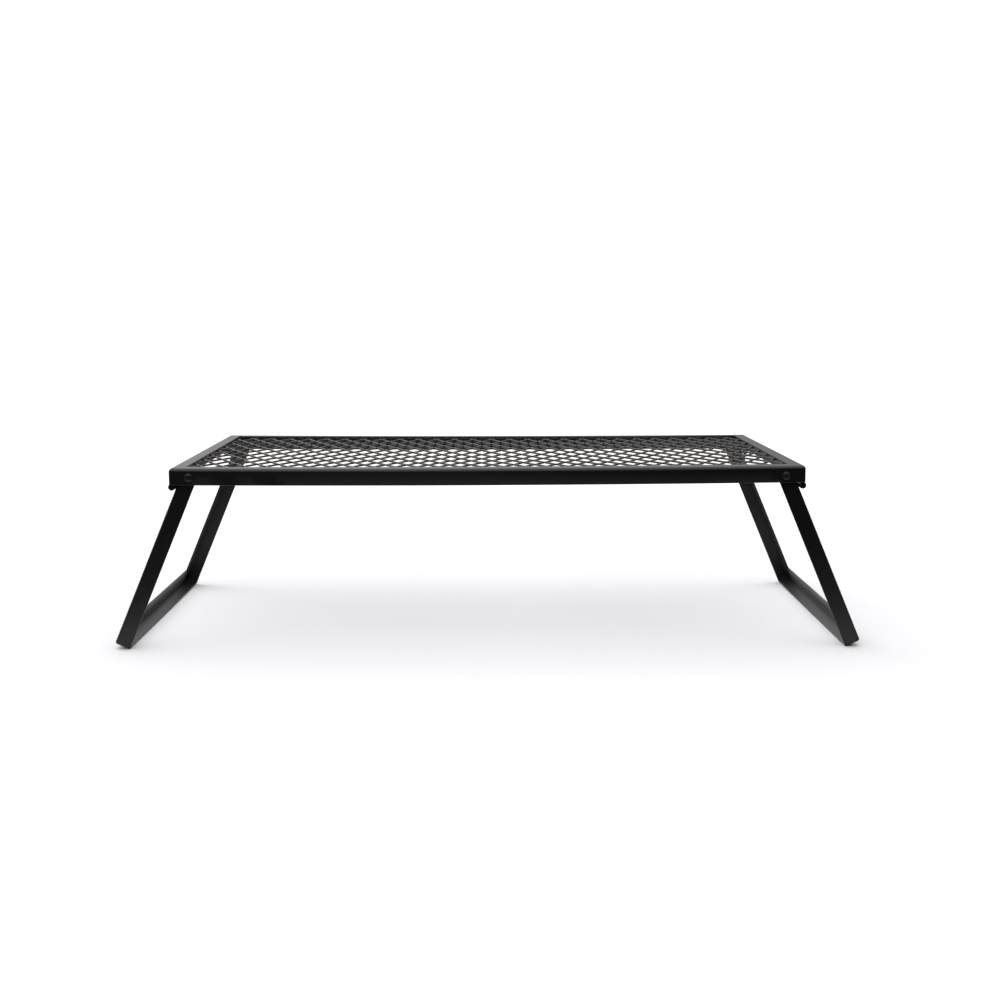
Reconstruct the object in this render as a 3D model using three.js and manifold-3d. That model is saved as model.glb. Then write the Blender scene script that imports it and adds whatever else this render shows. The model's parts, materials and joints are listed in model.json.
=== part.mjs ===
// Folding side table: a steel-angle frame around an expanded-mesh top, on two U-shaped legs
// that fold inwards on rivets. Millimetres, +Z up. The origin is on the floor under the
// middle of the top, +X runs along the table's length and the front is at -Y.

import * as THREE from 'three';
import { mergeVertices } from 'three/addons/utils/BufferGeometryUtils.js';
import Module from 'manifold-3d';

const wasm = await Module();
wasm.setup();

// ---- Driving dimensions ----

// Whole table
const tableLength = 610;
const tableDepth = 355;
const tableHeight = 177.8;

// Rails of the top frame: a bent angle with its heel at the top outer edge
const railFlange = 14.5;
const railDrop = 16.5;
const railSheet = 1.8;
const railBend = 4;

// Expanded mesh, fixed under the inner edge of the top flanges
const meshSetIn = 9;
const meshThickness = 1.5;
const meshAcross = 21.3;
const meshAlong = 44;
const meshShift = 4.5;
const meshStrand = 2.2;
const meshBorder = 3;

// Legs: an angle of equal leaves, standing at a lean against the stops
const legLeaf = 15.6;
const legSheet = 2;
const legBend = 2.5;
const legLean = THREE.MathUtils.degToRad(22.7);
const webStart = 9;

// Pivots
const pivotFromEnd = 18.8;
const pivotBelowTop = 10;
const shankRadius = 2.5;
const holeRadius = 2.6;

// Rivets and washers
const headRadius = 4;
const headHeight = 1.5;
const tailRadius = 3.8;
const tailHeight = 1.8;
const tailChamfer = 0.7;
const washerThickness = 1;
const spacerRadius = 6;
const tailWasherRadius = 5;

// Stops: round stubs welded under the lower edge of the end rails
const stopRadius = 3;
const stopLength = 16;
const stopChamfer = 0.5;
const stopFromFront = 2.5;

// Gaps
const mitreGap = 0.3;
const stackGap = 0.05;
const stopGap = 0.3;

// Curve resolution, as segments to a quarter turn
const bendSegments = 4;
const roundSegments = 6;

// ---- Derived places ----

const halfLength = tableLength / 2;
const halfDepth = tableDepth / 2;
const halfLeaf = legLeaf / 2;
const railBottom = tableHeight - railDrop;
const pivotX = halfLength - pivotFromEnd;
const pivotZ = tableHeight - pivotBelowTop;

// A bar's bottom end is square to the bar, so the leg stands on its inner lower edge.
const legReach = (pivotZ - halfLeaf * Math.sin(legLean)) / Math.cos(legLean);

// Rivet stack, counted inwards from the outer face of the rail
const spacerStart = railSheet + stackGap;
const legStart = spacerStart + washerThickness + stackGap;
const tailWasherStart = legStart + legSheet + stackGap;
const tailStart = tailWasherStart + washerThickness + stackGap;
const legHalfWidth = halfDepth - legStart;

// ---- Materials ----

const finishes = {
  framePaint: { color: 0x1b1a1b, roughness: 0.48, metalness: 0 },
  meshPaint: { color: 0x161617, roughness: 0.5, metalness: 0 },
  legPaint: { color: 0x1a191b, roughness: 0.5, metalness: 0 },
  rivetPaint: { color: 0x1c1b1d, roughness: 0.38, metalness: 0.2 },
  washerZinc: { color: 0x2a2a2c, roughness: 0.42, metalness: 0.8 },
};

function piece(name, geometry, finish) {
  const mesh = new THREE.Mesh(geometry, new THREE.MeshStandardMaterial(finishes[finish]));
  mesh.name = name;
  return mesh;
}

// ---- Solids ----

function toSolid(geometry) {
  const bare = geometry.clone();
  bare.deleteAttribute('normal');
  bare.deleteAttribute('uv');
  const merged = mergeVertices(bare, 1e-4);
  return new wasm.Manifold(new wasm.Mesh({
    numProp: 3,
    vertProperties: Float32Array.from(merged.attributes.position.array),
    triVerts: Uint32Array.from(merged.index.array),
  }));
}

function toGeometry(solid) {
  const { vertProperties, triVerts } = solid.getMesh();
  const geometry = new THREE.BufferGeometry();
  geometry.setAttribute('position', new THREE.BufferAttribute(vertProperties, 3));
  geometry.setIndex(new THREE.BufferAttribute(triVerts, 1));
  geometry.computeVertexNormals();
  return geometry;
}

function join(first, ...others) {
  return toGeometry(others.reduce((sum, other) => sum.add(toSolid(other)), toSolid(first)));
}

function cut(first, ...others) {
  return toGeometry(others.reduce((left, other) => left.subtract(toSolid(other)), toSolid(first)));
}

// Section of a bent angle. The wall runs down from the heel at (0, 0) and the web runs
// inwards along +X; both are sheet thick, with the outer bend radius at the heel.
function angleSection(web, wall, sheet, bend) {
  const inner = bend - sheet;
  const shape = new THREE.Shape();
  shape.moveTo(0, -wall);
  shape.lineTo(sheet, -wall);
  shape.lineTo(sheet, -bend);
  shape.absarc(bend, -bend, inner, Math.PI, Math.PI / 2, true);
  shape.lineTo(web, -sheet);
  shape.lineTo(web, 0);
  shape.lineTo(bend, 0);
  shape.absarc(bend, -bend, bend, Math.PI / 2, Math.PI, false);
  shape.lineTo(0, -wall);
  return shape;
}

// A bar with the given section, from start to end along +Z. A mitred end slopes at 45
// degrees, so that the bar is longest at its wall and shortest at the web's free edge.
function bar(section, start, end, mitreStart, mitreEnd) {
  const geometry = new THREE.ExtrudeGeometry(section, {
    depth: end - start,
    bevelEnabled: false,
    curveSegments: bendSegments,
  });
  const position = geometry.attributes.position;
  for (let i = 0; i < position.count; i += 1) {
    const inward = position.getX(i);
    const atStart = position.getZ(i) < (end - start) / 2;
    const slope = atStart ? Number(mitreStart) : -Number(mitreEnd);
    position.setZ(i, position.getZ(i) + start + slope * inward);
  }
  return geometry;
}

// Turns a bar's own axes onto the three directions given for them.
function orient(geometry, inward, upward, along) {
  return geometry.applyMatrix4(new THREE.Matrix4().makeBasis(inward, upward, along));
}

// A round piece about Y, from its profile as radius against distance along Y.
function turned(profile) {
  const points = profile.map(([radius, along]) => new THREE.Vector2(radius, along));
  return new THREE.LatheGeometry(points, 4 * roundSegments);
}

const X = new THREE.Vector3(1, 0, 0);
const Y = new THREE.Vector3(0, 1, 0);
const Z = new THREE.Vector3(0, 0, 1);

// ---- Top frame ----

const railSection = angleSection(railFlange, railDrop, railSheet, railBend);
const mitreEndGap = mitreGap / Math.SQRT2;

// The front rail lies along X with its wall at -Y, drilled for the two rivets.
function longRail() {
  const reach = halfLength - mitreEndGap;
  const angle = orient(bar(railSection, -reach, reach, true, true), Y, Z, X);
  angle.translate(0, -halfDepth, tableHeight);
  const drills = [-pivotX, pivotX].map((x) => {
    const drill = new THREE.CylinderGeometry(holeRadius, holeRadius, 4 * railSheet, 4 * roundSegments);
    return drill.translate(x, -halfDepth, pivotZ);
  });
  return cut(angle, ...drills);
}

// An end rail lies along Y with its wall at -X.
function endRail() {
  const reach = halfDepth - mitreEndGap;
  const angle = bar(railSection, -reach, reach, true, true);
  // Looking along -Y the section's own axes stay right-handed.
  return orient(angle, X, Z, Y.clone().negate()).translate(-halfLength, 0, tableHeight);
}

// ---- Stop stubs ----

// A short round stub lies along Y under the lower edge of an end rail. It stands just far
// enough out for the leg's outer face to rest on it.
const stopZ = railBottom - stackGap - stopRadius;
const stopReach = halfLeaf + stopGap + stopRadius + (pivotZ - stopZ) * Math.sin(legLean);
const stopX = pivotX + stopReach / Math.cos(legLean);
const stopY = halfDepth - stopFromFront - stopLength / 2;

function stopStub() {
  const end = stopLength / 2;
  return turned([
    [0, -end],
    [stopRadius - stopChamfer, -end],
    [stopRadius, stopChamfer - end],
    [stopRadius, end - stopChamfer],
    [stopRadius - stopChamfer, end],
    [0, end],
  ]);
}

// ---- Mesh panel ----

function sheet(reachX, reachY, thickness) {
  return new THREE.BoxGeometry(2 * reachX, 2 * reachY, thickness).translate(0, 0, thickness / 2);
}

// A staggered pattern of diamond prisms, long way front to back, that covers the panel. The
// panel is cut from a larger sheet, so the pattern is off centre.
function diamonds(reachX, reachY) {
  const slope = meshAlong / meshAcross;
  const halfOpenX = meshAcross / 2 - meshStrand / 2 * Math.hypot(1, 1 / slope);
  const halfOpenY = halfOpenX * slope;
  const columns = Math.ceil(2 * reachX / meshAcross);
  const rows = Math.ceil(2 * reachY / meshAlong);
  const shapes = [];
  for (let column = -columns; column <= columns; column += 1) {
    for (let row = -rows; row <= rows; row += 1) {
      if ((column + row) % 2 !== 0) continue;
      const x = column * meshAcross / 2 + meshShift;
      const y = row * meshAlong / 2;
      shapes.push(new THREE.Shape([
        new THREE.Vector2(x - halfOpenX, y),
        new THREE.Vector2(x, y - halfOpenY),
        new THREE.Vector2(x + halfOpenX, y),
        new THREE.Vector2(x, y + halfOpenY),
      ]));
    }
  }
  const geometry = new THREE.ExtrudeGeometry(shapes, { depth: 3 * meshThickness, bevelEnabled: false });
  return geometry.translate(0, 0, -meshThickness);
}

// Openings that meet the edge stop short of it, which leaves a border under the flanges.
function meshPanel() {
  const reachX = halfLength - meshSetIn;
  const reachY = halfDepth - meshSetIn;
  const inside = sheet(reachX - meshBorder, reachY - meshBorder, 2 * meshThickness);
  const openings = toSolid(diamonds(reachX, reachY))
    .intersect(toSolid(inside.translate(0, 0, -meshThickness / 2)));
  const panel = toSolid(sheet(reachX, reachY, meshThickness)).subtract(openings);
  return toGeometry(panel).translate(0, 0, tableHeight - railSheet - stackGap - meshThickness);
}

// ---- Legs ----

// In a leg's own axes the pivot line is Y through the origin, the bars run down -Z and
// the web of each angle is on the outward side, +X.
const legSection = angleSection(legLeaf, legLeaf, legSheet, legBend);

// The flat eye at the top of a side bar, round about the pivot, where the web is cut away.
function pivotEye() {
  const shape = new THREE.Shape();
  shape.moveTo(-halfLeaf, -webStart - legBend);
  shape.lineTo(halfLeaf - legBend, -webStart - legBend);
  shape.lineTo(halfLeaf - legBend, -webStart);
  shape.lineTo(halfLeaf, -webStart);
  shape.lineTo(halfLeaf, 0);
  shape.absarc(0, 0, halfLeaf, 0, Math.PI, false);
  shape.lineTo(-halfLeaf, -webStart - legBend);
  const hole = new THREE.Path();
  hole.absarc(0, 0, holeRadius, 0, 2 * Math.PI, true);
  shape.holes.push(hole);
  const geometry = new THREE.ExtrudeGeometry(shape, {
    depth: legSheet,
    bevelEnabled: false,
    curveSegments: 2 * roundSegments,
  });
  return geometry.applyMatrix4(new THREE.Matrix4().makeBasis(X, Z, Y.clone().negate()))
    .translate(0, legSheet - legHalfWidth, 0);
}

// The side bar at -Y: its wall faces -Y, and its lower end is mitred into the foot bar.
function sideBar() {
  const down = Z.clone().negate();
  const angle = bar(legSection, webStart, legReach - mitreEndGap, false, true);
  orient(angle, Y, X, down).translate(halfLeaf, -legHalfWidth, 0);
  return join(angle, pivotEye());
}

// The foot bar lies along Y with its wall facing down the leg.
function footBar() {
  const reach = legHalfWidth - mitreEndGap;
  const angle = bar(legSection, -reach, reach, true, true);
  return orient(angle, Z, X, Y).translate(halfLeaf, 0, -legReach);
}

function turnedHalfway(geometry) {
  return geometry.clone().rotateZ(Math.PI);
}

// A side bar for +Y is the mirror image of the one for -Y.
function mirroredAcross(geometry) {
  const mirrored = geometry.clone().scale(1, -1, 1);
  const index = mirrored.index.array;
  for (let i = 0; i < index.length; i += 3) {
    [index[i], index[i + 1]] = [index[i + 1], index[i]];
  }
  mirrored.computeVertexNormals();
  return mirrored;
}

// ---- Rivets and washers ----

// Each stack lies along Y, with its profiles counted inwards from the rail's outer face.
function rivetGeometry() {
  const profile = [];
  for (let i = 0; i <= bendSegments; i += 1) {
    const turn = Math.PI / 2 * i / bendSegments;
    profile.push([headRadius * Math.sin(turn), -stackGap - headHeight * Math.cos(turn)]);
  }
  profile.push([shankRadius, -stackGap]);
  profile.push([shankRadius, tailStart]);
  profile.push([tailRadius, tailStart]);
  profile.push([tailRadius, tailStart + tailHeight - tailChamfer]);
  profile.push([tailRadius - tailChamfer, tailStart + tailHeight]);
  profile.push([0, tailStart + tailHeight]);
  return turned(profile);
}

function washerGeometry(radius, start) {
  const end = start + washerThickness;
  return turned([
    [holeRadius, start],
    [radius, start],
    [radius, end],
    [holeRadius, end],
    [holeRadius, start],
  ]);
}

// ---- Assembly ----

const group = new THREE.Group();

const frontRail = longRail();
group.add(piece('front_rail', frontRail, 'framePaint'));
group.add(piece('rear_rail', turnedHalfway(frontRail), 'framePaint'));
const leftEndRail = endRail();
group.add(piece('left_end_rail', leftEndRail, 'framePaint'));
group.add(piece('right_end_rail', turnedHalfway(leftEndRail), 'framePaint'));
group.add(piece('mesh_panel', meshPanel(), 'meshPaint'));

// One leg is built on the right; the left one is the same leg turned half round.
const nearBar = sideBar();
const farBar = mirroredAcross(nearBar);
const foot = footBar();

for (const side of ['left', 'right']) {
  const leg = new THREE.Group();
  leg.position.set(pivotX, 0, pivotZ);
  leg.rotation.y = -legLean;
  const front = side === 'right' ? nearBar : farBar;
  const rear = side === 'right' ? farBar : nearBar;
  leg.add(piece(`${side}_leg_front_bar`, front, 'legPaint'));
  leg.add(piece(`${side}_leg_rear_bar`, rear, 'legPaint'));
  leg.add(piece(`${side}_leg_foot_bar`, foot, 'legPaint'));
  const half = new THREE.Group();
  half.rotation.z = side === 'right' ? 0 : Math.PI;
  half.add(leg);
  group.add(half);
}

for (const end of ['front', 'rear']) {
  for (const side of ['left', 'right']) {
    const stop = piece(`${end}_${side}_stop`, stopStub(), 'framePaint');
    stop.position.set(side === 'right' ? stopX : -stopX, end === 'front' ? -stopY : stopY, stopZ);
    group.add(stop);

    const stack = new THREE.Group();
    const x = side === 'right' ? pivotX : -pivotX;
    const y = end === 'front' ? -halfDepth : halfDepth;
    stack.position.set(x, y, pivotZ);
    stack.rotation.z = end === 'front' ? 0 : Math.PI;
    stack.add(piece(`${end}_${side}_rivet`, rivetGeometry(), 'rivetPaint'));
    const spacer = washerGeometry(spacerRadius, spacerStart);
    stack.add(piece(`${end}_${side}_spacer_washer`, spacer, 'washerZinc'));
    const tailWasher = washerGeometry(tailWasherRadius, tailWasherStart);
    stack.add(piece(`${end}_${side}_tail_washer`, tailWasher, 'washerZinc'));
    group.add(stack);
  }
}

export default group;
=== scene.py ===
import json
from math import cos, pi, radians, sin

import bmesh
import bpy
from mathutils import Matrix, Vector, noise


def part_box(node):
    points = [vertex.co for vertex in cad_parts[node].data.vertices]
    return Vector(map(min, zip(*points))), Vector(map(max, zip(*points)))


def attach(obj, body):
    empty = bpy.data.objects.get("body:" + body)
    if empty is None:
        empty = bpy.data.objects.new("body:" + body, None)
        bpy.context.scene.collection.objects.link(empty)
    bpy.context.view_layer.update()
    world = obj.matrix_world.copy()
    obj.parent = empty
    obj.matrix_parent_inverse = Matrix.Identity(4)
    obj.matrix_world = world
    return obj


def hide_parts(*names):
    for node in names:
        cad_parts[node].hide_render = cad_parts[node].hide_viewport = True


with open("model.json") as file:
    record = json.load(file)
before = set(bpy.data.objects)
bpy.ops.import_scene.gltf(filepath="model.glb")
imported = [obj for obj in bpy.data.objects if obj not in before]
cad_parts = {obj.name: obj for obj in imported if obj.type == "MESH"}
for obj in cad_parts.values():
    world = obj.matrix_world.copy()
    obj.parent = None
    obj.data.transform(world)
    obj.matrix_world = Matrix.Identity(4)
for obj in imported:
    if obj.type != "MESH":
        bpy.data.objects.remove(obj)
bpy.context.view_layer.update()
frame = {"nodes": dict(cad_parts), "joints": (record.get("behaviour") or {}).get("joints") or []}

mm = 0.001

# the table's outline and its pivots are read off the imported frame
railLow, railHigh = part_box("front_rail")
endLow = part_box("left_end_rail")[0]
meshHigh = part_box("mesh_panel")[1]
topFrame = dict(
    halfLength=-endLow.x,
    halfDepth=-railLow.y,
    height=railHigh.z,
    flange=railHigh.y - railLow.y,
    drop=railHigh.z - railLow.z,
)
pivots = {joint["child"]: Vector(joint["pos_m"]) for joint in frame["joints"]}
print("frame loaded:", len(frame["nodes"]), "nodes")


def linear(hexColour):
    channels = [int(hexColour[i:i + 2], 16) / 255 for i in (1, 3, 5)]
    return [c / 12.92 if c <= 0.04045 else ((c + 0.055) / 1.055) ** 2.4 for c in channels] + [1]


def addNode(tree, kind, settings=None, links=None):
    # links holds, for each input, either a value or the output that feeds it
    node = tree.nodes.new(kind)
    for key, value in (settings or {}).items():
        setattr(node, key, value)
    for key, value in (links or {}).items():
        if isinstance(value, bpy.types.NodeSocket):
            tree.links.new(value, node.inputs[key])
        else:
            node.inputs[key].default_value = value
    return node


def newMaterial(name):
    material = bpy.data.materials.new(name)
    material.use_nodes = True
    tree = material.node_tree
    tree.nodes.clear()
    return material, tree


# most of a noise texture's values lie between these two
noiseMiddle = (0.3, 0.7)

# Powder coat is dry polyester powder baked on: it flows into a satin skin with a fine orange
# peel and looks almost black face on. Its sharp edges are coloured lighter, a painted highlight.
framePowder = dict(
    base="#0d0c0d", thin="#141314", patch=34 * mm, patchMix=0.55, peel=1.8 * mm, peelHeight=0.03 * mm,
    roughness=(0.36, 0.43), grain=5 * mm, ior=1.5, edge=(0.53, 0.60), edgeHighlightColour="#2b2a2b",
)
legPowder = dict(
    base="#0a090b", thin="#100f11", patch=46 * mm, patchMix=0.5, peel=1.8 * mm, peelHeight=0.03 * mm,
    roughness=(0.37, 0.44), grain=6 * mm, ior=1.5, edge=(0.53, 0.60), edgeHighlightColour="#2a282b",
)
# on the strands the sheared edges are coloured lighter, a painted highlight
meshPowder = dict(
    base="#090909", thin="#101010", patch=12 * mm, patchMix=0.7, peel=1.4 * mm, peelHeight=0.03 * mm,
    roughness=(0.34, 0.42), grain=3 * mm, ior=1.5, edge=(0.53, 0.62), edgeHighlightColour="#2c2c2c",
)


def powderCoat(name, look):
    material, tree = newMaterial(name)
    place = addNode(tree, "ShaderNodeTexCoord")
    at = place.outputs["Object"]
    patch = addNode(tree, "ShaderNodeTexNoise", None, {
        "Vector": at, "Scale": 1 / look["patch"], "Detail": 3, "Roughness": 0.55})
    patchAmount = addNode(tree, "ShaderNodeMath", {"operation": "MULTIPLY"}, {
        0: patch.outputs["Fac"], 1: look["patchMix"]})
    colour = addNode(tree, "ShaderNodeMix", {"data_type": "RGBA"}, {
        "Factor": patchAmount.outputs[0], "A": linear(look["base"]), "B": linear(look["thin"])})
    # sharp edges get a lighter colour: a painted highlight where light would catch the rounded edges
    geometry = addNode(tree, "ShaderNodeNewGeometry")
    onEdge = addNode(tree, "ShaderNodeMapRange", None, {
        "Value": geometry.outputs["Pointiness"],
        "From Min": look["edge"][0], "From Max": look["edge"][1], "To Min": 0, "To Max": 1})
    paintedEdgeHighlight = addNode(tree, "ShaderNodeMix", {"data_type": "RGBA"}, {
        "Factor": onEdge.outputs["Result"], "A": colour.outputs["Result"], "B": linear(look["edgeHighlightColour"])})
    grain = addNode(tree, "ShaderNodeTexNoise", None, {
        "Vector": at, "Scale": 1 / look["grain"], "Detail": 4, "Roughness": 0.6})
    rough = addNode(tree, "ShaderNodeMapRange", None, {
        "Value": grain.outputs["Fac"], "From Min": noiseMiddle[0], "From Max": noiseMiddle[1],
        "To Min": look["roughness"][0], "To Max": look["roughness"][1]})
    # real orange peel is about 1 mm across; it is drawn at 1.4 to 1.8 mm so that it shows
    peel = addNode(tree, "ShaderNodeTexNoise", None, {
        "Vector": at, "Scale": 1 / look["peel"], "Detail": 2, "Roughness": 0.4})
    bump = addNode(tree, "ShaderNodeBump", None, {
        "Height": peel.outputs["Fac"], "Distance": look["peelHeight"], "Strength": 1})
    shader = addNode(tree, "ShaderNodeBsdfPrincipled", None, {
        "Base Color": paintedEdgeHighlight.outputs["Result"], "Roughness": rough.outputs["Result"],
        "IOR": look["ior"], "Normal": bump.outputs["Normal"]})
    addNode(tree, "ShaderNodeOutputMaterial", None, {"Surface": shader.outputs["BSDF"]})
    return material


# Black enamelled rivet steel: smoother than powder, with the dome's edges coloured lighter in blotches, a
# painted glint.
rivetEnamel = dict(
    base="#0c0b0c", glintColour="#1a191b", roughness=(0.42, 0.5), patch=2.5 * mm, peel=1.1 * mm,
    peelHeight=0.03 * mm, ior=1.52, edge=(0.54, 0.62), paintedGlint=0.7,
)


def enamelledSteel(name, look):
    material, tree = newMaterial(name)
    place = addNode(tree, "ShaderNodeTexCoord")
    at = place.outputs["Object"]
    geometry = addNode(tree, "ShaderNodeNewGeometry")
    onEdge = addNode(tree, "ShaderNodeMapRange", None, {
        "Value": geometry.outputs["Pointiness"],
        "From Min": look["edge"][0], "From Max": look["edge"][1], "To Min": 0, "To Max": look["paintedGlint"]})
    blotch = addNode(tree, "ShaderNodeTexNoise", None, {
        "Vector": at, "Scale": 1 / look["patch"], "Detail": 4, "Roughness": 0.6})
    paintedGlint = addNode(tree, "ShaderNodeMath", {"operation": "MULTIPLY", "use_clamp": True}, {
        0: onEdge.outputs["Result"], 1: blotch.outputs["Fac"]})
    # the dome's edges are coloured lighter in blotches: a painted glint
    colour = addNode(tree, "ShaderNodeMix", {"data_type": "RGBA"}, {
        "Factor": paintedGlint.outputs[0], "A": linear(look["base"]), "B": linear(look["glintColour"])})
    rough = addNode(tree, "ShaderNodeMapRange", None, {
        "Value": blotch.outputs["Fac"], "From Min": noiseMiddle[0], "From Max": noiseMiddle[1],
        "To Min": look["roughness"][0], "To Max": look["roughness"][1]})
    peel = addNode(tree, "ShaderNodeTexNoise", None, {"Vector": at, "Scale": 1 / look["peel"], "Detail": 2})
    bump = addNode(tree, "ShaderNodeBump", None, {
        "Height": peel.outputs["Fac"], "Distance": look["peelHeight"], "Strength": 1})
    shader = addNode(tree, "ShaderNodeBsdfPrincipled", None, {
        "Base Color": colour.outputs["Result"], "Roughness": rough.outputs["Result"],
        "IOR": look["ior"], "Normal": bump.outputs["Normal"]})
    addNode(tree, "ShaderNodeOutputMaterial", None, {"Surface": shader.outputs["BSDF"]})
    return material


# Black passivated zinc plate: a thin metal skin that the eye reads as dark and slightly blotchy.
blackZinc = dict(
    dark="#3b3a3c", light="#5a595c", blotch=3 * mm, roughness=(0.34, 0.5), turning=0.5 * mm,
    turningHeight=0.01 * mm,
)


def passivatedZinc(name, look):
    material, tree = newMaterial(name)
    place = addNode(tree, "ShaderNodeTexCoord")
    at = place.outputs["Object"]
    blotch = addNode(tree, "ShaderNodeTexNoise", None, {
        "Vector": at, "Scale": 1 / look["blotch"], "Detail": 5, "Roughness": 0.65})
    colour = addNode(tree, "ShaderNodeMix", {"data_type": "RGBA"}, {
        "Factor": blotch.outputs["Fac"], "A": linear(look["dark"]), "B": linear(look["light"])})
    rough = addNode(tree, "ShaderNodeMapRange", None, {
        "Value": blotch.outputs["Fac"], "From Min": noiseMiddle[0], "From Max": noiseMiddle[1],
        "To Min": look["roughness"][0], "To Max": look["roughness"][1]})
    scratches = addNode(tree, "ShaderNodeTexNoise", None, {
        "Vector": at, "Scale": 1 / look["turning"], "Detail": 1})
    bump = addNode(tree, "ShaderNodeBump", None, {
        "Height": scratches.outputs["Fac"], "Distance": look["turningHeight"], "Strength": 1})
    shader = addNode(tree, "ShaderNodeBsdfPrincipled", None, {
        "Base Color": colour.outputs["Result"], "Metallic": 1, "Roughness": rough.outputs["Result"],
        "Normal": bump.outputs["Normal"]})
    addNode(tree, "ShaderNodeOutputMaterial", None, {"Surface": shader.outputs["BSDF"]})
    return material


frameFinish = powderCoat("satin black powder coat on bent steel angle", framePowder)
legFinish = powderCoat("satin black powder coat on leg steel", legPowder)
meshFinish = powderCoat("satin black powder coat on expanded mesh", meshPowder)
rivetFinish = enamelledSteel("black enamelled rivet steel", rivetEnamel)
washerFinish = passivatedZinc("black passivated zinc plate", blackZinc)
print("materials made")


def makePiece(name, bm, body, slotName, finish, *nodes, sharp=35):
    bmesh.ops.recalc_face_normals(bm, faces=bm.faces)
    mesh = bpy.data.meshes.new(name)
    bm.to_mesh(mesh)
    bm.free()
    mesh.shade_smooth()
    mesh.set_sharp_from_angle(angle=radians(sharp))
    mesh.materials.append(finish)
    piece = bpy.data.objects.new(name, mesh)
    bpy.context.scene.collection.objects.link(piece)
    # broad flats keep one flat normal beside their rounded edges
    piece.modifiers.new("weighted normals", "WEIGHTED_NORMAL").keep_sharp = True
    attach(piece, body)
    if nodes:
        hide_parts(*nodes)
    return piece


def arc(centre, radius, start, end, steps):
    turns = [start + (end - start) * i / steps for i in range(steps + 1)]
    return [(centre[0] + radius * cos(a), centre[1] + radius * sin(a)) for a in turns]


outlineSteps = dict(edge=3, inside=6, heel=8)


def angleOutline(web, wall, sheet, bend, edge):
    # bent angle with its heel at (0, 0): the wall runs down, the web runs inwards
    return [
        *arc((edge, edge - wall), edge, pi, 1.5 * pi, outlineSteps["edge"]),
        *arc((sheet - edge, edge - wall), edge, 1.5 * pi, 2 * pi, outlineSteps["edge"]),
        *arc((bend, -bend), bend - sheet, pi, pi / 2, outlineSteps["inside"]),
        *arc((web - edge, edge - sheet), edge, 1.5 * pi, 2 * pi, outlineSteps["edge"]),
        *arc((web - edge, -edge), edge, 0, pi / 2, outlineSteps["edge"]),
        *arc((bend, -bend), bend, pi / 2, pi, outlineSteps["heel"]),
    ]


def loft(bm, rings):
    rows = [[bm.verts.new(point) for point in ring] for ring in rings]
    count = len(rows[0])
    for lower, upper in zip(rows, rows[1:]):
        for i in range(count):
            j = (i + 1) % count
            bm.faces.new((lower[i], lower[j], upper[j], upper[i]))
    bm.faces.new(rows[0][::-1])
    bm.faces.new(rows[-1])


def mitreEnd(run, inward, turn, shape):
    # turn goes from 0, where the straight ends, to 1, at the mitre; the outer corner is ground round
    corner = shape["corner"]
    angle = turn * pi / 4
    if inward < corner:
        along = run - corner + (corner - inward) * sin(angle)
        return along - shape["seam"], corner - (corner - inward) * cos(angle)
    return run - inward - (1 - turn) * shape["lead"] - shape["seam"], inward


def mitredRings(outline, run, shape, place, squareStart=None):
    # a bar from -run to +run with a mitre at each end, or from squareStart with one square end
    straight = run - shape["web"] - 2 * shape["lead"]
    turns = [i / shape["cornerSteps"] for i in range(shape["cornerSteps"] + 1)]
    rings = []
    if squareStart is None:
        for turn in reversed(turns):
            ends = [(mitreEnd(run, inward, turn, shape), up) for inward, up in outline]
            rings.append([place(-along, inward, up) for (along, inward), up in ends])
    start = -straight if squareStart is None else squareStart
    for i in range(shape["stations"] + 1):
        along = start + (straight - start) * i / shape["stations"]
        rings.append([place(along, inward, up) for inward, up in outline])
    for turn in turns:
        ends = [(mitreEnd(run, inward, turn, shape), up) for inward, up in outline]
        rings.append([place(along, inward, up) for (along, inward), up in ends])
    return rings


rail = dict(
    web=topFrame["flange"], wall=topFrame["drop"], sheet=1.8 * mm, bend=4 * mm, edge=0.4 * mm,
    corner=1.8 * mm, cornerSteps=5, lead=1 * mm, seam=0.09 * mm, stations=28,
    frontBow=1.4 * mm, rearBow=1.1 * mm, rack=0.55 * mm, settled=0.35 * mm,
)


def bowed(point):
    # the welded frame hangs a little at mid length and is racked: two opposite corners stand higher
    along, deep = point.x / topFrame["halfLength"], point.y / topFrame["halfDepth"]
    bow = rail["frontBow"] + (rail["rearBow"] - rail["frontBow"]) * (deep + 1) / 2
    drop = bow * (1 - along ** 2) + rail["settled"] + rail["rack"] * along * deep
    return point - Vector((0, 0, drop))


def makeRails():
    outline = angleOutline(rail["web"], rail["wall"], rail["sheet"], rail["bend"], rail["edge"])
    long, deep, high = topFrame["halfLength"], topFrame["halfDepth"], topFrame["height"]
    places = {
        "front_rail": (long, lambda a, w, u: bowed(Vector((a, w - deep, high + u)))),
        "rear_rail": (long, lambda a, w, u: bowed(Vector((a, deep - w, high + u)))),
        "left_end_rail": (deep, lambda a, w, u: bowed(Vector((w - long, a, high + u)))),
        "right_end_rail": (deep, lambda a, w, u: bowed(Vector((long - w, a, high + u)))),
    }
    for node, (run, place) in places.items():
        bm = bmesh.new()
        loft(bm, mitredRings(outline, run, rail, place))
        makePiece(node + "_angle", bm, "top_frame", "frame_powder_coat", frameFinish, node)


makeRails()
print("rails made")


expanded = dict(
    across=21.3 * mm, along=44 * mm, shift=4.5 * mm, strand=1.7 * mm, sheet=1.8 * mm,
    knuckle=2.6 * mm, easing=2 * mm, tilt=radians(3), edge=0.25 * mm, sag=2 * mm,
)


def strandSection():
    half, rise, edge = expanded["strand"] / 2, expanded["sheet"] / 2, expanded["edge"]
    return [
        (-half + edge, -rise), (half - edge, -rise), (half, -rise + edge), (half, rise - edge),
        (half - edge, rise), (-half + edge, rise), (-half, rise - edge), (-half, -rise + edge),
    ]


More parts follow.
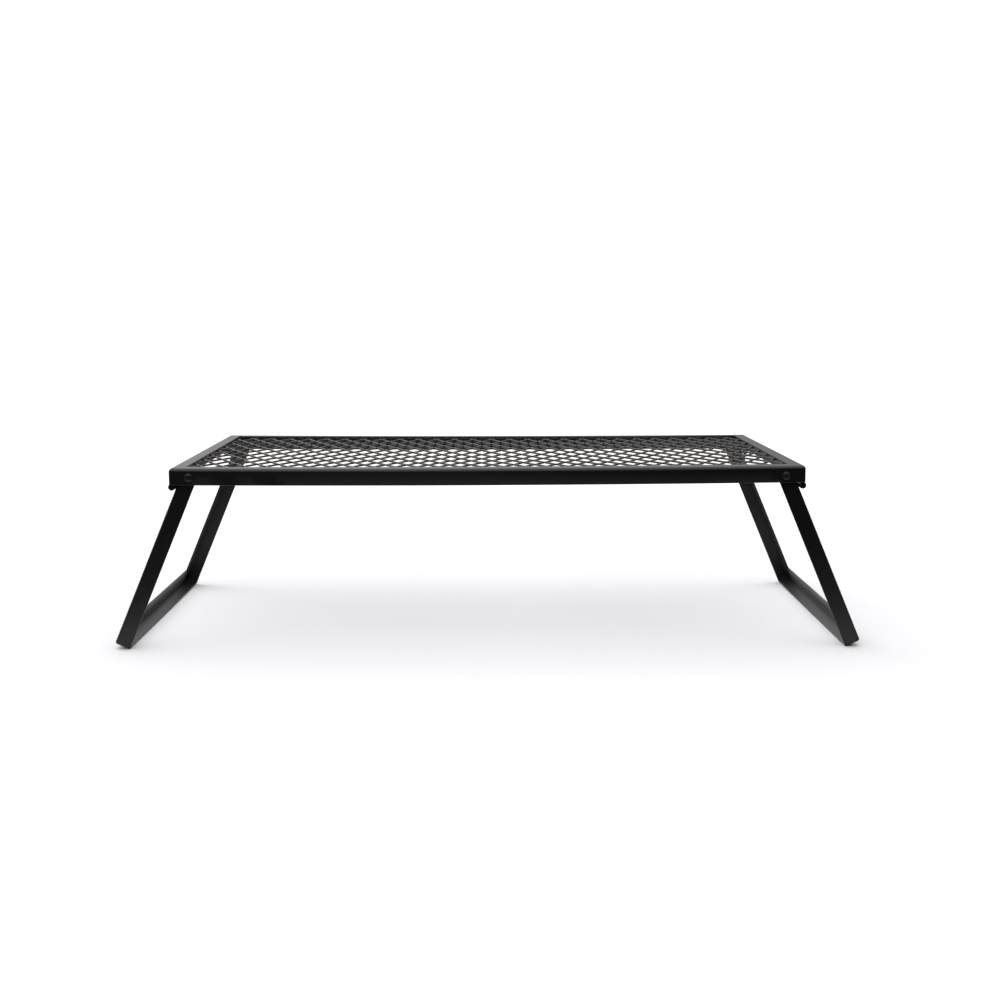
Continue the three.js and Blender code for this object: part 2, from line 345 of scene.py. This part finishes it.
def chainPath(column, rows):
    # one zigzag strand, front to back, between the knuckles it shares with its neighbours
    half = expanded["strand"] / 2 * cos(expanded["tilt"])
    lift = expanded["strand"] / 2 * sin(expanded["tilt"])
    left = column * expanded["across"] / 2 + expanded["shift"] + half
    right = (column + 1) * expanded["across"] / 2 + expanded["shift"] - half
    corners = []
    for row in range(-rows, rows + 1):
        onLeft = (column + row) % 2 != 0
        x, z = (left, -lift) if onLeft else (right, lift)
        y = row * expanded["along"] / 2
        for end in (-0.5, 0.5):
            corners.append(Vector((x, y + end * expanded["knuckle"], z)))
    path = [corners[0]]
    for before, corner, after in zip(corners, corners[1:], corners[2:]):
        first = corner + (before - corner).normalized() * expanded["easing"]
        last = corner + (after - corner).normalized() * expanded["easing"]
        for t in (0, 0.25, 0.5, 0.75, 1):
            path.append(first * (1 - t) ** 2 + corner * 2 * t * (1 - t) + last * t ** 2)
    return path + [corners[-1]]


def addChain(bm, column, rows):
    path = chainPath(column, rows)
    section = strandSection()
    lean = expanded["tilt"]
    rings = []
    for i, point in enumerate(path):
        run = path[min(i + 1, len(path) - 1)] - path[max(i - 1, 0)]
        run.z = 0
        run.normalize()
        sideways = Vector((run.y, -run.x, 0))
        ring = []
        for across, up in section:
            flat = across * cos(lean) - up * sin(lean)
            ring.append(point + sideways * flat + Vector((0, 0, across * sin(lean) + up * cos(lean))))
        rings.append(ring)
    loft(bm, rings)


def trim(bm, place, outward):
    # shears the mesh off along one side and closes the cut strands
    everything = bm.verts[:] + bm.edges[:] + bm.faces[:]
    bmesh.ops.bisect_plane(bm, geom=everything, plane_co=place, plane_no=outward, clear_outer=True)
    cut = [edge for edge in bm.edges if edge.is_boundary]
    bmesh.ops.holes_fill(bm, edges=cut, sides=0)


def makeMesh():
    reachX, reachY = meshHigh.x, meshHigh.y
    columns = int(reachX / expanded["across"] * 2) + 2
    rows = int(reachY / expanded["along"] * 2) + 2
    bm = bmesh.new()
    for column in range(-columns, columns + 1):
        addChain(bm, column, rows)
    for side in (-1, 1):
        trim(bm, Vector((side * reachX, 0, 0)), Vector((side, 0, 0)))
        trim(bm, Vector((0, side * reachY, 0)), Vector((0, side, 0)))
    tallest = max(vertex.co.z for vertex in bm.verts)
    for vertex in bm.verts:
        x, y = vertex.co.x / reachX, vertex.co.y / reachY
        dish = expanded["sag"] * (1 - x * x) * (1 - y * y)
        vertex.co = bowed(vertex.co + Vector((0, 0, meshHigh.z - tallest - dish)))
    makePiece("mesh_panel_expanded", bm, "top_frame", "mesh_powder_coat", meshFinish, "mesh_panel")


makeMesh()
print("mesh made")


# The crown of the eye is flattened a little under the rail's flange. At the two corners where the
# racked frame hangs lowest it still cuts into the flange.
leg = dict(
    web=15.6 * mm, wall=15.6 * mm, sheet=2 * mm, bend=2.5 * mm, edge=0.4 * mm,
    corner=1.2 * mm, cornerSteps=4, lead=1 * mm, seam=0.08 * mm, stations=10,
    lean=radians(22.7), webStart=9 * mm, eyeSteps=24, eyeFlat=0.92, flatWithin=radians(0.5),
)
drill = dict(reach=3, steps=32)
brokenEdge = dict(width=0.3 * mm, segments=2, sharperThan=radians(50))
leg["halfLeaf"] = leg["wall"] / 2
leg["halfWidth"] = -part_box("right_leg_front_bar")[0].y
leg["reach"] = (pivots["right_leg"].z - leg["halfLeaf"] * sin(leg["lean"])) / cos(leg["lean"])
legOutline = angleOutline(leg["web"], leg["wall"], leg["sheet"], leg["bend"], leg["edge"])


def legPlace(side):
    # a leg's own axes: the pivot line is Y, the bars run down -Z, the webs are on +X
    right = Matrix.Translation(pivots["right_leg"]) @ Matrix.Rotation(-leg["lean"], 4, "Y")
    return right if side == "right" else Matrix.Rotation(pi, 4, "Z") @ right


def eyePlate(turnsTo):
    # flat round-ended plate about the pivot, in the plane of the bar's wall
    half, edge = leg["halfLeaf"], leg["edge"]
    bottom = -leg["webStart"] - leg["bend"]
    outline = [(-half, bottom), (half - leg["bend"], bottom), (half - leg["bend"], -leg["webStart"])]
    crown = [(x, z * leg["eyeFlat"]) for x, z in arc((0, 0), half, 0, pi, leg["eyeSteps"])]
    outline += [(half, -leg["webStart"]), *crown]
    outer, inner = leg["halfWidth"], leg["halfWidth"] - leg["sheet"]
    bm = bmesh.new()
    loft(bm, [[Vector((x, turnsTo * y, z)) for x, z in outline] for y in (outer, inner)])
    return bm


def barSolid(turnsTo):
    half, wide = leg["halfLeaf"], leg["halfWidth"]
    bm = bmesh.new()
    loft(bm, mitredRings(
        legOutline, leg["reach"], leg,
        lambda a, w, u: Vector((half + u, turnsTo * (wide - w), -a)), leg["webStart"]))
    return bm


def asObject(name, bm):
    bmesh.ops.recalc_face_normals(bm, faces=bm.faces)
    mesh = bpy.data.meshes.new(name)
    bm.to_mesh(mesh)
    bm.free()
    thing = bpy.data.objects.new(name, mesh)
    bpy.context.scene.collection.objects.link(thing)
    return thing


def combined(base, operation, tool):
    # one solid from two, by a boolean that is applied at once
    modifier = base.modifiers.new(operation, "BOOLEAN")
    modifier.operation = operation
    modifier.solver = "EXACT"
    modifier.object = tool
    view = bpy.context.evaluated_depsgraph_get()
    result = bmesh.new()
    result.from_mesh(base.evaluated_get(view).to_mesh())
    for thing in (base, tool):
        bpy.data.objects.remove(thing)
    return result


def drilled(bm, centre, radius):
    pin = bmesh.new()
    deep = drill["reach"] * leg["sheet"]
    turns = [2 * pi * i / drill["steps"] for i in range(drill["steps"])]
    rings = [[Vector((centre.x + radius * cos(a), centre.y + d, centre.z + radius * sin(a))) for a in turns]
             for d in (-deep, deep)]
    loft(pin, rings)
    return combined(asObject("blank", bm), "DIFFERENCE", asObject("drill", pin))


def makeLegs():
    for side in ("left", "right"):
        place = legPlace(side)
        for end in ("front", "rear"):
            turnsTo = -1 if (end == "front") == (side == "right") else 1
            bar = combined(asObject("bar", barSolid(turnsTo)), "UNION", asObject("eye", eyePlate(turnsTo)))
            bar = drilled(bar, Vector((0, turnsTo * leg["halfWidth"], 0)), rivet["hole"])
            bmesh.ops.dissolve_limit(
                bar, angle_limit=leg["flatWithin"], verts=bar.verts[:], edges=bar.edges[:])
            bar.transform(place)
            node = f"{side}_leg_{end}_bar"
            piece = makePiece(node + "_angle", bar, side + "_leg", "leg_powder_coat", legFinish, node)
            roundOff(piece)
        foot = bmesh.new()
        loft(foot, mitredRings(
            legOutline, leg["halfWidth"], leg,
            lambda a, w, u: place @ Vector((leg["halfLeaf"] + u, a, w - leg["reach"]))))
        node = f"{side}_leg_foot_bar"
        makePiece(node + "_angle", foot, side + "_leg", "leg_powder_coat", legFinish, node)


def roundOff(piece):
    # breaks the sheared edges that the rounded outline doesn't reach
    bevel = piece.modifiers.new("broken edges", "BEVEL")
    bevel.width = brokenEdge["width"]
    bevel.segments = brokenEdge["segments"]
    bevel.limit_method = "ANGLE"
    bevel.angle_limit = brokenEdge["sharperThan"]
    bevel.harden_normals = False
    piece.modifiers.move(1, 0)


rivet = dict(
    head=4 * mm, headHeight=1.5 * mm, dimple=0.9 * mm, dimpleDepth=0.25 * mm, lip=0.25 * mm,
    shank=2.5 * mm, hole=2.6 * mm, tail=3.8 * mm, tailHeight=1.8 * mm, tailRound=0.9 * mm, steps=48,
    domeSteps=14, flare=0.02 * mm, underHead=0.1 * mm, tailSide=0.15 * mm, tailFoot=0.2 * mm, tailSteps=5,
    hollow=1.2 * mm, hollowRim=0.1 * mm, hollowMiddle=0.15 * mm,
)
stack = dict(gap=0.05 * mm, washer=1 * mm, spacer=6 * mm, tailWasher=5 * mm, washerEdge=0.2 * mm)
stack["spacerStart"] = rail["sheet"] + stack["gap"]
stack["legStart"] = stack["spacerStart"] + stack["washer"] + stack["gap"]
stack["tailWasherStart"] = stack["legStart"] + leg["sheet"] + stack["gap"]
stack["tailStart"] = stack["tailWasherStart"] + stack["washer"] + stack["gap"]


def rivetProfile():
    # radius against depth behind the rail's outer face: dimpled dome, shank, upset tail
    head, high, gap = rivet["head"], rivet["headHeight"], stack["gap"]
    crown = (head * head + (high - rivet["lip"]) ** 2) / (2 * (high - rivet["lip"]))
    profile = []
    for i in range(rivet["domeSteps"] + 1):
        radius = head * i / rivet["domeSteps"]
        dome = (crown * crown - radius * radius) ** 0.5 - (crown - high)
        press = rivet["dimpleDepth"] * max(0, 1 - (radius / rivet["dimple"]) ** 2) ** 2
        profile.append((radius, press - gap - dome))
    profile += [(head + rivet["flare"], -gap - 0.5 * rivet["lip"]), (head - rivet["underHead"], -gap)]
    tail, drop, start = rivet["tail"], rivet["tailHeight"], stack["tailStart"]
    profile += [(rivet["shank"], -gap), (rivet["shank"], start)]
    profile += [(tail - rivet["tailSide"], start), (tail, start + rivet["tailFoot"])]
    soft = rivet["tailRound"]
    easing = arc((tail - soft, drop - soft), soft, 0, pi / 2, rivet["tailSteps"])
    profile += [(radius, start + depth) for radius, depth in easing]
    end = start + drop
    profile += [(rivet["hollow"], end - rivet["hollowRim"]), (0, end - rivet["hollowMiddle"])]
    return profile


def washerProfile(radius, start):
    edge, end, hole = stack["washerEdge"], start + stack["washer"], rivet["hole"]
    return [
        (hole, start + edge), (hole + edge, start), (radius - edge, start), (radius, start + edge),
        (radius, end - edge), (radius - edge, end), (hole + edge, end), (hole, end - edge),
    ]


def turnedSolid(bm, profile, place, closed=False):
    # a closed profile makes a ring; an open one starts and ends on the axis
    steps = rivet["steps"]
    rows = []
    for radius, distance in profile:
        if radius == 0:
            rows.append([bm.verts.new(place(0, distance, 0))])
            continue
        turns = [2 * pi * i / steps for i in range(steps)]
        rows.append([bm.verts.new(place(radius * cos(a), distance, radius * sin(a))) for a in turns])
    pairs = list(zip(rows, rows[1:])) + ([(rows[-1], rows[0])] if closed else [])
    for lower, upper in pairs:
        for i in range(steps):
            j = (i + 1) % steps
            around = [lower[i % len(lower)], lower[j % len(lower)]]
            around += [upper[j % len(upper)], upper[i % len(upper)]]
            bm.faces.new(list(dict.fromkeys(around)))


def makeFasteners():
    for end in ("front", "rear"):
        for side in ("left", "right"):
            x, z = pivots[side + "_leg"].x, pivots[side + "_leg"].z
            face, inward = (-topFrame["halfDepth"], 1) if end == "front" else (topFrame["halfDepth"], -1)

            def place(a, distance, b, x=x, z=z, face=face, inward=inward):
                return Vector((x + a, face + inward * distance, z + b))

            node = f"{end}_{side}_rivet"
            bm = bmesh.new()
            turnedSolid(bm, rivetProfile(), place)
            makePiece(node + "_turned", bm, "top_frame", "rivet_black", rivetFinish, node)
            for kind, radius in (("spacer", stack["spacer"]), ("tail", stack["tailWasher"])):
                node = f"{end}_{side}_{kind}_washer"
                start = stack["spacerStart"] if kind == "spacer" else stack["tailWasherStart"]
                bm = bmesh.new()
                turnedSolid(bm, washerProfile(radius, start), place, closed=True)
                makePiece(node + "_turned", bm, "top_frame", "washer_zinc", washerFinish, node)


makeLegs()
print("legs made")
makeFasteners()
print("fasteners made")


stop = dict(edge=0.6 * mm, edgeSteps=4, growth=0.3 * mm, outward=0.7 * mm)
weld = dict(
    ripple=0.12, rippleLength=2.2 * mm, perRipple=4, fewest=8, wander=0.18 * mm, wanderLength=4 * mm,
    tip=0.15, steps=12,
)
stopWeld = dict(
    inset=0.95 * mm, apart=2.2 * mm, fromEnd=1 * mm, under=0.7 * mm, outer=1.0 * mm, inner=0.9 * mm,
)
tack = dict(length=7 * mm, spacing=72 * mm, under=0.9 * mm, inset=2 * mm, radius=1.2 * mm)
cornerWeld = dict(above=1 * mm, upright=1.2 * mm, short=4 * mm, inset=1 * mm, flat=0.9 * mm)
legWeld = dict(start=0.5 * mm, short=1 * mm, wall=1.1 * mm, web=0.9 * mm)


def addBead(bm, start, end, radius):
    # a rippled bead laid along a line, round at both ends and half sunk in the joint
    run = end - start
    length = run.length
    run.normalize()
    sideways = run.orthogonal().normalized()
    upward = run.cross(sideways)
    count = max(weld["fewest"], int(length / (weld["rippleLength"] / weld["perRipple"])))
    rings = []
    for i in range(count + 1):
        along = length * i / count
        fromEnd = max(0, 1 - min(along, length - along) / radius)
        rounding = max(0, 1 - fromEnd ** 2) ** 0.5
        ripple = 1 + weld["ripple"] * sin(2 * pi * along / weld["rippleLength"])
        place = start + run * along
        drift = noise.noise_vector(place / weld["wanderLength"]) * weld["wander"]
        size = max(weld["tip"], rounding) * ripple * radius
        turns = [2 * pi * k / weld["steps"] for k in range(weld["steps"])]
        rings.append([place + drift + (sideways * cos(a) + upward * sin(a)) * size for a in turns])
    loft(bm, rings)


def makeStops():
    for end in ("front", "rear"):
        for side in ("left", "right"):
            node = f"{end}_{side}_stop"
            low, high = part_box(node)
            centre = (low + high) / 2
            outward = 1 if side == "right" else -1
            centre.x += outward * stop["outward"]
            half, edge = (high.y - low.y) / 2, stop["edge"]
            radius = (high.z - low.z) / 2 + stop["growth"]
            profile = [(0, -half)]
            firstEdge = arc((0, 0), edge, -pi / 2, 0, stop["edgeSteps"])
            lastEdge = arc((0, 0), edge, 0, pi / 2, stop["edgeSteps"])
            profile += [(radius - edge + a, edge - half + b) for a, b in firstEdge]
            profile += [(radius - edge + a, half - edge + b) for a, b in lastEdge]
            profile += [(0, half)]
            bm = bmesh.new()
            turnedSolid(bm, profile, lambda a, d, b: centre + Vector((a, d, b)))
            makePiece(node + "_stub", bm, "top_frame", "frame_powder_coat", frameFinish, node)
            bm = bmesh.new()
            wallFoot = topFrame["height"] - topFrame["drop"]
            outer = outward * (topFrame["halfLength"] - stopWeld["inset"])
            inner = outer - outward * stopWeld["apart"]
            z = wallFoot - stopWeld["under"]
            for x, size in ((outer, stopWeld["outer"]), (inner, stopWeld["inner"])):
                addBead(
                    bm, Vector((x, centre.y - half + stopWeld["fromEnd"], z)),
                    Vector((x, centre.y + half - stopWeld["fromEnd"], z)), size)
            makePiece(node + "_weld", bm, "top_frame", "frame_powder_coat", frameFinish)


def makeMeshTacks():
    # short beads hold the panel up against the underside of the flanges
    bm = bmesh.new()
    z = meshHigh.z - tack["under"]
    lineX, lineY = meshHigh.x - tack["inset"], meshHigh.y - tack["inset"]
    acrossCount = int(2 * lineX / tack["spacing"])
    for i in range(acrossCount + 1):
        x = -lineX + 2 * lineX * (i + 0.5) / (acrossCount + 1)
        for y in (-lineY, lineY):
            ends = [bowed(Vector((x + side * tack["length"] / 2, y, z))) for side in (-1, 1)]
            addBead(bm, *ends, tack["radius"])
    deepCount = int(2 * lineY / tack["spacing"])
    for i in range(deepCount + 1):
        y = -lineY + 2 * lineY * (i + 0.5) / (deepCount + 1)
        for x in (-lineX, lineX):
            ends = [bowed(Vector((x, y + side * tack["length"] / 2, z))) for side in (-1, 1)]
            addBead(bm, *ends, tack["radius"])
    makePiece("mesh_tack_welds", bm, "top_frame", "frame_powder_coat", frameFinish)


def makeCornerWelds():
    # inside each corner of the top frame, under the flanges
    bm = bmesh.new()
    inner = rail["sheet"]
    for sideX in (-1, 1):
        for sideY in (-1, 1):
            x = sideX * (topFrame["halfLength"] - inner)
            y = sideY * (topFrame["halfDepth"] - inner)
            z = topFrame["height"] - rail["bend"]
            bottom = topFrame["height"] - topFrame["drop"] + cornerWeld["above"]
            addBead(bm, Vector((x, y, z)), Vector((x, y, bottom)), cornerWeld["upright"])
            under = topFrame["height"] - rail["sheet"]
            reach = rail["web"] - cornerWeld["short"]
            start = Vector((x - sideX * cornerWeld["inset"], y - sideY * cornerWeld["inset"], under))
            end = start - Vector((sideX * reach / 2, sideY * reach / 2, 0))
            addBead(bm, start, end, cornerWeld["flat"])
    makePiece("top_corner_welds", bm, "top_frame", "frame_powder_coat", frameFinish)
    for side in ("left", "right"):
        bm = bmesh.new()
        place = legPlace(side)
        for end in (-1, 1):
            wide, sheet = leg["halfWidth"] - leg["sheet"], leg["sheet"]
            low, high = leg["sheet"] - leg["reach"], leg["halfLeaf"] - leg["sheet"]
            corner = Vector((high, end * wide, low))
            reach = leg["wall"] - 2 * sheet - legWeld["short"]
            addBead(bm, place @ (corner - Vector((legWeld["start"], 0, 0))),
                    place @ (corner - Vector((reach, 0, 0))), legWeld["wall"])
            reach = leg["web"] - 2 * sheet - legWeld["short"]
            addBead(bm, place @ corner, place @ (corner + Vector((0, -end * reach, reach))), legWeld["web"])
        makePiece(f"{side}_leg_corner_welds", bm, side + "_leg", "leg_powder_coat", legFinish)


makeStops()
makeMeshTacks()
makeCornerWelds()
print("stops and welds made")


stage = dict(left=-3, right=3, near=-0.3, far=0.9, colour="#e6e6e6")
keyLight = dict(fromBehind=1, fromLeft=3, spread=112, strength=3.15)
frontCard = dict(place=(-0.15, -1.6, 0.02), size=(0.5, 0.3), power=0.2)
surround = dict(
    seen=1.3, front=0.02, back=0.85, turnFrom=-0.25, turnTo=0.5, left=1.7, right=0.4, side=0.6,
    low=0.02, high=0.16, under=0.08, warm="#fff8f2", cool="#f3f5ff", coolFrom=0.1, coolTo=0.6,
)
shot = dict(
    place=(-0.66 * mm, -1651.5 * mm, 336.03 * mm), yaw=0.48, pitch=7.37, roll=-0.13, lens=55.82,
    nearest=0.05, furthest=50,
)


def makeFloor():
    material, tree = newMaterial("white studio paper")
    shader = addNode(tree, "ShaderNodeBsdfDiffuse", None, {
        "Color": linear(stage["colour"]), "Roughness": 0})
    addNode(tree, "ShaderNodeOutputMaterial", None, {"Surface": shader.outputs["BSDF"]})
    mesh = bpy.data.meshes.new("studio_floor")
    left, right, near, far = (stage[key] for key in ("left", "right", "near", "far"))
    corners = [(left, near, 0), (right, near, 0), (right, far, 0), (left, far, 0)]
    mesh.from_pydata(corners, [], [(0, 1, 2, 3)])
    mesh.materials.append(material)
    floor = bpy.data.objects.new("studio_floor", mesh)
    bpy.context.scene.collection.objects.link(floor)


def makeLights():
    # a broad bank overhead and behind, even over the whole floor
    bank = bpy.data.lights.new("overhead bank", "SUN")
    bank.energy = keyLight["strength"]
    bank.angle = radians(keyLight["spread"])
    lamp = bpy.data.objects.new("overhead bank", bank)
    lamp.rotation_euler = (radians(-keyLight["fromBehind"]), radians(-keyLight["fromLeft"]), 0)
    bpy.context.scene.collection.objects.link(lamp)

    # a small card low in front gives the band its faint lighter middle
    card = bpy.data.lights.new("front card", "AREA")
    card.shape = "RECTANGLE"
    card.size, card.size_y = frontCard["size"]
    card.energy = frontCard["power"]
    lamp = bpy.data.objects.new("front card", card)
    lamp.location = frontCard["place"]
    lamp.rotation_euler = (-Vector(frontCard["place"])).to_track_quat("-Z", "Y").to_euler()
    bpy.context.scene.collection.objects.link(lamp)

    # a pale surround behind the table that fades to a dim room in front, brighter on the left
    world = bpy.data.worlds.new("studio")
    bpy.context.scene.world = world
    world.use_nodes = True
    tree = world.node_tree
    tree.nodes.clear()
    sky = addNode(tree, "ShaderNodeTexCoord")
    split = addNode(tree, "ShaderNodeSeparateXYZ", None, {0: sky.outputs["Generated"]})
    behind = addNode(tree, "ShaderNodeMapRange", {"interpolation_type": "SMOOTHSTEP"}, {
        "Value": split.outputs["Y"], "From Min": surround["turnFrom"], "From Max": surround["turnTo"],
        "To Min": surround["front"], "To Max": surround["back"]})
    sideways = addNode(tree, "ShaderNodeMapRange", {"interpolation_type": "SMOOTHSTEP"}, {
        "Value": split.outputs["X"], "From Min": -surround["side"], "From Max": surround["side"],
        "To Min": surround["left"], "To Max": surround["right"]})
    level = addNode(tree, "ShaderNodeMath", {"operation": "MULTIPLY"}, {
        0: behind.outputs["Result"], 1: sideways.outputs["Result"]})
    risen = addNode(tree, "ShaderNodeMapRange", {"interpolation_type": "SMOOTHSTEP"}, {
        "Value": split.outputs["Z"], "From Min": surround["low"], "From Max": surround["high"],
        "To Min": surround["under"], "To Max": 1})
    amount = addNode(tree, "ShaderNodeMath", {"operation": "MULTIPLY"}, {
        0: level.outputs[0], 1: risen.outputs["Result"]})
    upward = addNode(tree, "ShaderNodeMapRange", None, {
        "Value": split.outputs["Z"], "From Min": surround["coolFrom"], "From Max": surround["coolTo"]})
    tint = addNode(tree, "ShaderNodeMix", {"data_type": "RGBA"}, {
        "Factor": upward.outputs["Result"], "A": linear(surround["warm"]), "B": linear(surround["cool"])})
    path = addNode(tree, "ShaderNodeLightPath")
    strength = addNode(tree, "ShaderNodeMix", {"data_type": "FLOAT"}, {
        "Factor": path.outputs["Is Camera Ray"], "A": amount.outputs[0], "B": surround["seen"]})
    shine = addNode(tree, "ShaderNodeBackground", None, {
        "Color": tint.outputs["Result"], "Strength": strength.outputs["Result"]})
    addNode(tree, "ShaderNodeOutputWorld", None, {"Surface": shine.outputs["Background"]})


def makeCamera():
    data = bpy.data.cameras.new("camera")
    data.lens = shot["lens"]
    data.clip_start, data.clip_end = shot["nearest"], shot["furthest"]
    camera = bpy.data.objects.new("camera", data)
    bpy.context.scene.collection.objects.link(camera)
    turn = Matrix.Rotation(radians(-shot["yaw"]), 4, "Z")
    turn = turn @ Matrix.Rotation(radians(90 - shot["pitch"]), 4, "X")
    turn = turn @ Matrix.Rotation(radians(shot["roll"]), 4, "Z")
    camera.matrix_world = Matrix.Translation(shot["place"]) @ turn
    bpy.context.scene.camera = camera


makeFloor()
makeLights()
makeCamera()
bpy.context.scene.view_settings.view_transform = "Standard"
print("studio made")
